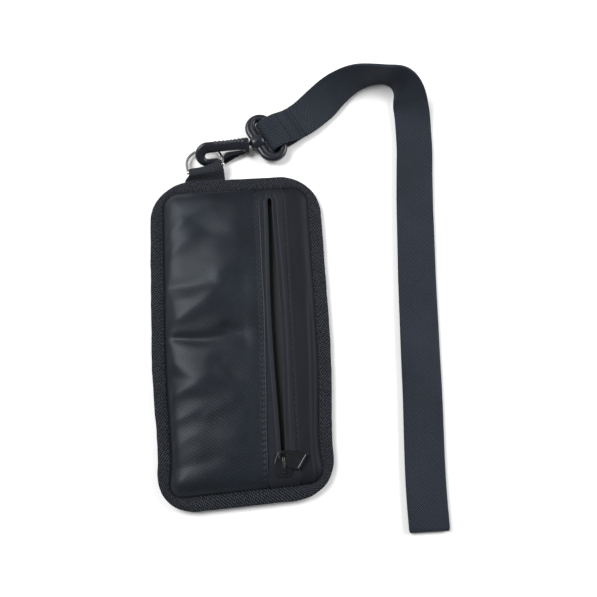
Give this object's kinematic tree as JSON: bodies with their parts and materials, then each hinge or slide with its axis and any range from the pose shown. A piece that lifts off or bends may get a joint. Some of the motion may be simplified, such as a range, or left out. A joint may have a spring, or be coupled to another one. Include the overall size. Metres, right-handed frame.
{
  "type": "zippered pouch",
  "caption": "Flat zippered phone pouch with bound edge, corner tab and ring, and a doubled webbing hand strap on a swivel snap hook.",
  "frame": {"origin": "middle of the pouch's back face, on which it lies", "axes": "+X across the pouch towards the zip, +Y up the pouch towards its tab, +Z out of its front"},
  "size_m": [0.1676, 0.2633, 0.0226],
  "materials": {
    "back_cloth": "plain woven",
    "foam": "foam",
    "lining": "thin woven",
    "panel_cloth": "coated twill with a soft sheen",
    "side_cloth": "smooth coated cloth",
    "zip_tape": "coated smooth tape",
    "zip_teeth": "nylon coil",
    "slider_paint": "black enamel",
    "binding": "ribbed woven tape",
    "thread": "thread",
    "tab_webbing": "twill webbing",
    "ring_metal": "polished nickel",
    "hook_plastic": "satin moulded",
    "strap_webbing": "twill webbing"
  },
  "bodies": {
    "pouch": {"back_panel": "back_cloth", "padding": "foam", "pocket_lining": "lining", "main_panel": "panel_cloth", "side_panel": "side_cloth", "zip_tape_left": "zip_tape", "zip_tape_right": "zip_tape", "zip_row_left": "zip_teeth", "zip_row_right": "zip_teeth", "zip_top_stops": "zip_teeth", "zip_bottom_stop": "zip_teeth", "edge_binding": "binding", "binding_stitching": "thread", "main_stitching": "thread", "side_stitching": "thread", "loop_tab": "tab_webbing", "tab_stitching": "thread"},
    "slider": {"slider_body": "slider_paint"},
    "pull": {"slider_pull": "slider_paint"},
    "ring": {"d_ring": "ring_metal"},
    "hook": {"hook_body": "hook_plastic", "strap": "strap_webbing"},
    "gate": {"hook_gate": "hook_plastic"},
    "eye": {"swivel_eye": "hook_plastic", "strap_end": "strap_webbing", "strap_end_stitching": "thread"}
  },
  "joints": [
    {"name": "zip_slide", "type": "slide", "parent": "pouch", "child": "slider", "axis": [0, 1, 0], "range_m": [0, 0.138]},
    {"name": "pull_swing", "type": "hinge", "parent": "slider", "child": "pull", "pos_m": [0.0198, -0.068, 0.009], "axis": [0, 0, 1], "range_deg": [-20, 122]},
    {"name": "ring_tilt", "type": "hinge", "parent": "pouch", "child": "ring", "pos_m": [-0.0163, 0.0986, 0.0052], "axis": [0.9811, 0.173, 0.0872], "range_deg": [-3, 5]},
    {"name": "hook_swing", "type": "hinge", "parent": "pouch", "child": "hook", "pos_m": [-0.006, 0.103, 0.005], "axis": [0, 0, 1], "range_deg": [-9, 2]},
    {"name": "gate_press", "type": "hinge", "parent": "hook", "child": "gate", "pos_m": [0.00587, 0.10883, 0.00286], "axis": [0.199, -0.6357, 0.7458], "range_deg": [-4, 0], "stiffness_Nm_per_rad": 0.02},
    {"name": "swivel_turn", "type": "hinge", "parent": "hook", "child": "eye", "pos_m": [0.0143, 0.1135, 0.0046], "axis": [0.8829, 0.4695, 0], "continuous": true}
  ]
}
